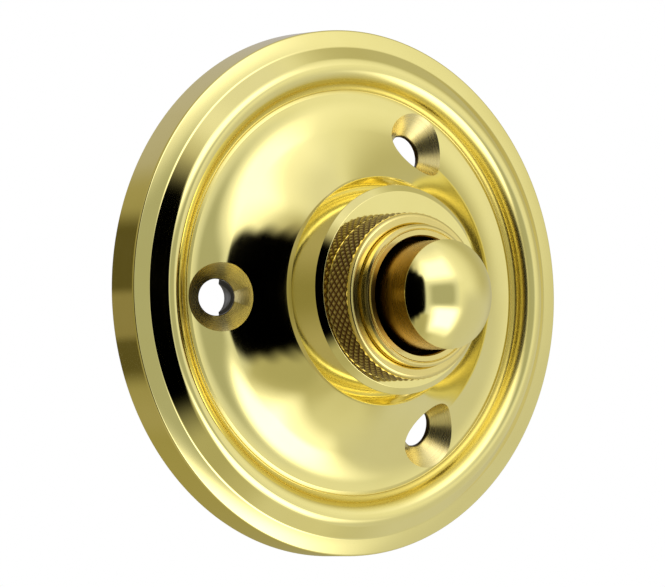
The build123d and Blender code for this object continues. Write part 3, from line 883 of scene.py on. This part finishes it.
# %% Finishes on the frame's pieces
kept_finishes = {
    "contact_carrier": phenolic,
    "plunger": nylon,
    "fixed_contact": bar_brass,
    "fixed_point": silver,
    "terminal_screws": bar_brass,
    "terminal_washers": bar_brass,
    "terminal_nuts": bar_brass,
    "carrier_screws": bar_brass,
}
break_w, break_steps, break_angle = 0.06, 2, radians(40)
for node_name, finish in kept_finishes.items():
    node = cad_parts[node_name]
    if not node.material_slots:
        node.data.materials.append(finish)
    for slot in node.material_slots:
        slot.material = finish
    edge_break = node.modifiers.new("edge_break", "BEVEL")
    edge_break.width, edge_break.segments = break_w * MM, break_steps
    edge_break.limit_method, edge_break.angle_limit = "ANGLE", break_angle
print("kept pieces:", len(kept_finishes))

# %% [markdown]
# ## Studio
#
# Small polished metal is shot in a tent, and what the metal looks like is what the tent shows it:
# two soft lamps, pale cloth, and a dark gap on the camera's side that the brass shows as the
# black shapes in its curves. The tent is one sphere, open straight behind the push, where the
# metal sees the white background itself. Its light is worked out from direction: each patch is a
# window in turn and height with round corners and soft edges, laid over the ones before it.

# %% Tent patches
# Name, colour, level, then left, right, low, high and soft edge, in degrees as the plate sees them.
tent_patches = [
    ("low_backdrop", "#a29a6c", 1.0, 600, -600, -100, 0, 20),
    ("front_cloth", "#bfbca2", 1.0, 72, -128, -100, 100, 24),
    ("right_front", "#f1f1e7", 1.0, -4, -68, -62, 100, 44),
    ("right_low", "#d1d1cb", 1.0, -40, -110, -56, 0, 20),
    ("top_cloth", "#e7e7e4", 1.0, 75, -50, 56, 120, 20),
    ("left_cloth", "#aea684", 1.0, 158, 56, -100, 100, 8),
    ("left_shade", "#8f885c", 1.0, 158, 56, -24, 24, 40),
    ("left_back", "#5b5432", 1.0, 168, 128, -19, 21, 6),
    ("left_slit", "#8d8462", 1.0, 168, 128, -9, 3, 3),
    ("low_left", "#b2af92", 1.0, 56, 20, -60, -28, 12),
    ("high_left", "#b4ae98", 1.0, 64, 35, 32, 50, 16),
    ("centre_cloth", "#dfe1dd", 1.0, 26, -32, -28, 28, 6),
    ("upper_lamp", "#ffffff", 1.1, 30, -37, 18, 60, 18),
    ("upper_core", "#ffffff", 1.9, 21, -26, 23, 48, 12),
    ("lower_lamp", "#ffffff", 1.3, 14, -38, -54, -16, 10),
    ("lower_core", "#ffffff", 2.4, 7, -31, -45, -19, 10),
    ("grey_card", "#b1b3a6", 1.0, 14, -25, -14, 14, 8),
    ("dark_gap_near", "#000000", 1.0, 54, 21, -27, 30, 4),
    ("dark_gap_middle", "#000000", 1.0, 54, 29, -33, 37, 4),
    ("dark_gap_far", "#000000", 1.0, 54, 38, -39, 43, 4),
    ("dark_gap_edge", "#000000", 1.0, 54, 46, -44, 48, 4),
]
print("tent patches:", len(tent_patches))

# %% Tent light
# The higher this power, the squarer a patch's corners.
CORNER_POWER = 6.0


def tent_light(backdrop):
    material = bpy.data.materials.new("tent_light")
    material.use_nodes = True
    tree = material.node_tree
    tree.nodes.clear()
    coords = add_node(tree, "ShaderNodeTexCoord").outputs["Object"]
    facing = add_node(tree, "ShaderNodeVectorMath", {0: coords, 1: (-1, -1, 1)},
                      operation="MULTIPLY").outputs[0]
    outward = add_node(tree, "ShaderNodeVectorMath", {0: facing}, operation="NORMALIZE").outputs[0]
    parts = add_node(tree, "ShaderNodeSeparateXYZ", {0: outward}).outputs
    turn = add_node(tree, "ShaderNodeMath", {0: parts["X"], 1: parts["Y"]},
                    operation="ARCTAN2").outputs[0]
    rise = add_node(tree, "ShaderNodeMath", {0: parts["Z"]}, operation="ARCSINE").outputs[0]
    light = colour(backdrop)
    for _, tint, level, left, right, low, high, soft in tent_patches:
        shares, reaches = [], []
        for angle, start, end in ((turn, right, left), (rise, low, high)):
            middle, reach = radians(start + end) / 2, radians(end - start) / 2
            off = add_node(tree, "ShaderNodeMath", {0: angle, 1: middle},
                           operation="SUBTRACT").outputs[0]
            away = add_node(tree, "ShaderNodeMath", {0: off}, operation="ABSOLUTE").outputs[0]
            share = add_node(tree, "ShaderNodeMath", {0: away, 1: reach},
                             operation="DIVIDE").outputs[0]
            shares.append(add_node(tree, "ShaderNodeMath", {0: share, 1: CORNER_POWER},
                                   operation="POWER").outputs[0])
            reaches.append(reach)
        total = add_node(tree, "ShaderNodeMath", {0: shares[0], 1: shares[1]},
                         operation="ADD").outputs[0]
        out = add_node(tree, "ShaderNodeMath", {0: total, 1: 1 / CORNER_POWER},
                       operation="POWER").outputs[0]
        blur = radians(soft) / 2 / min(reaches)
        edge = {"Value": out, "From Min": 1 - blur, "From Max": 1 + blur,
                "To Min": 1.0, "To Max": 0.0}
        cover = add_node(tree, "ShaderNodeMapRange", edge,
                         interpolation_type="SMOOTHSTEP").outputs["Result"]
        shade = [level * v for v in colour(tint)[:3]] + [1.0]
        light = add_node(tree, "ShaderNodeMix", {0: cover, 6: light, 7: shade},
                         data_type="RGBA").outputs[2]
    glow = add_node(tree, "ShaderNodeEmission", {"Color": light})
    add_node(tree, "ShaderNodeOutputMaterial", {"Surface": glow.outputs[0]})
    return material


TENT_R, OPEN_TURN, OPEN_RISE = 1.1, radians(150), radians(14)
tent_maker = bmesh.new()
bmesh.ops.create_uvsphere(tent_maker, u_segments=96, v_segments=48, radius=TENT_R)
behind = []
for face in tent_maker.faces:
    spot = face.calc_center_median().normalized()
    if abs(atan2(-spot.x, -spot.y)) > OPEN_TURN and abs(asin(spot.z)) < OPEN_RISE:
        behind.append(face)
bmesh.ops.delete(tent_maker, geom=behind, context="FACES")
tent_mesh = bpy.data.meshes.new("studio_tent")
tent_maker.to_mesh(tent_mesh)
tent_maker.free()
tent_mesh.materials.append(tent_light("#bcb8b8"))
tent = bpy.data.objects.new("studio_tent", tent_mesh)
bpy.context.scene.collection.objects.link(tent)
tent.visible_camera = False
print(f"tent: {len(tent_mesh.polygons)} faces, {len(behind)} left open behind")

# %% [markdown]
# ### Floor and background
#
# A sheet of pale paper lies below the push, and the world behind is plain white. The paper is
# kept out of reflections, so the tent alone decides what the metal shows.

# %% Floor and world
floor_drop, floor_r, floor_glow = 0.12, 0.6, 0.4
floor_maker = bmesh.new()
bmesh.ops.create_circle(floor_maker, cap_ends=True, radius=floor_r, segments=96)
floor_mesh = bpy.data.meshes.new("studio_floor")
floor_maker.to_mesh(floor_mesh)
floor_maker.free()
floor = bpy.data.objects.new("studio_floor", floor_mesh)
floor.location = (0, 0, -floor_drop)
bpy.context.scene.collection.objects.link(floor)
floor_finish, floor_tree, floor_surface = new_material("paper_pale_matt")
floor_surface.inputs["Base Color"].default_value = colour("#f2f1ee")
floor_surface.inputs["Roughness"].default_value = 0.9
floor_surface.inputs["Emission Color"].default_value = colour("#ffffff")
# Seen by the camera the paper also glows a little, so it stays pale and lights nothing.
seen = add_node(floor_tree, "ShaderNodeLightPath").outputs["Is Camera Ray"]
glow = add_node(floor_tree, "ShaderNodeMath", {0: seen, 1: floor_glow},
                operation="MULTIPLY").outputs[0]
floor_tree.links.new(glow, floor_surface.inputs["Emission Strength"])
floor_mesh.materials.append(floor_finish)
floor.visible_glossy = False

world = bpy.data.worlds.new("white_tent")
bpy.context.scene.world = world
world.use_nodes = True
background = world.node_tree.nodes["Background"]
background.inputs["Color"].default_value = colour("#ffffff")
background.inputs["Strength"].default_value = 1.0
bpy.context.scene.view_settings.view_transform = "Standard"
print(f"floor {floor_r * 2:.1f} m across, world plain white")

# %% [markdown]
# ## Camera
#
# The picture was taken from the left, almost level, from about 0.9 m with a long lens. The angles
# below were worked out from the plate's edge rings and screw holes, for a picture 665 by 587
# pixels.

# %% Camera
PICTURE_W = 665
azimuth, elevation, roll = radians(-36.745), radians(-0.760), radians(-2.419)
focal_px, away_mm, shift_right, shift_up = 6204.26, 900.0, 0.744, 0.090

back = Vector((sin(azimuth) * cos(elevation), -cos(azimuth) * cos(elevation), sin(elevation)))
level = Vector((cos(azimuth), sin(azimuth), 0))
above = back.cross(level)
right = level * cos(roll) + above * sin(roll)
up = above * cos(roll) - level * sin(roll)
target = right * shift_right + up * shift_up
lens = bpy.data.cameras.new("picture_camera")
lens.sensor_fit, lens.sensor_width = "HORIZONTAL", 36.0
lens.lens = focal_px * lens.sensor_width / PICTURE_W
lens.clip_start, lens.clip_end = 0.05, 20.0
camera = bpy.data.objects.new("picture_camera", lens)
turn = Matrix((right, up, back)).transposed().to_4x4()
camera.matrix_world = Matrix.Translation((target + back * away_mm) * MM) @ turn
bpy.context.scene.collection.objects.link(camera)
bpy.context.scene.camera = camera
print(f"lens {lens.lens:.1f} mm, camera {away_mm / 1000:.2f} m away")
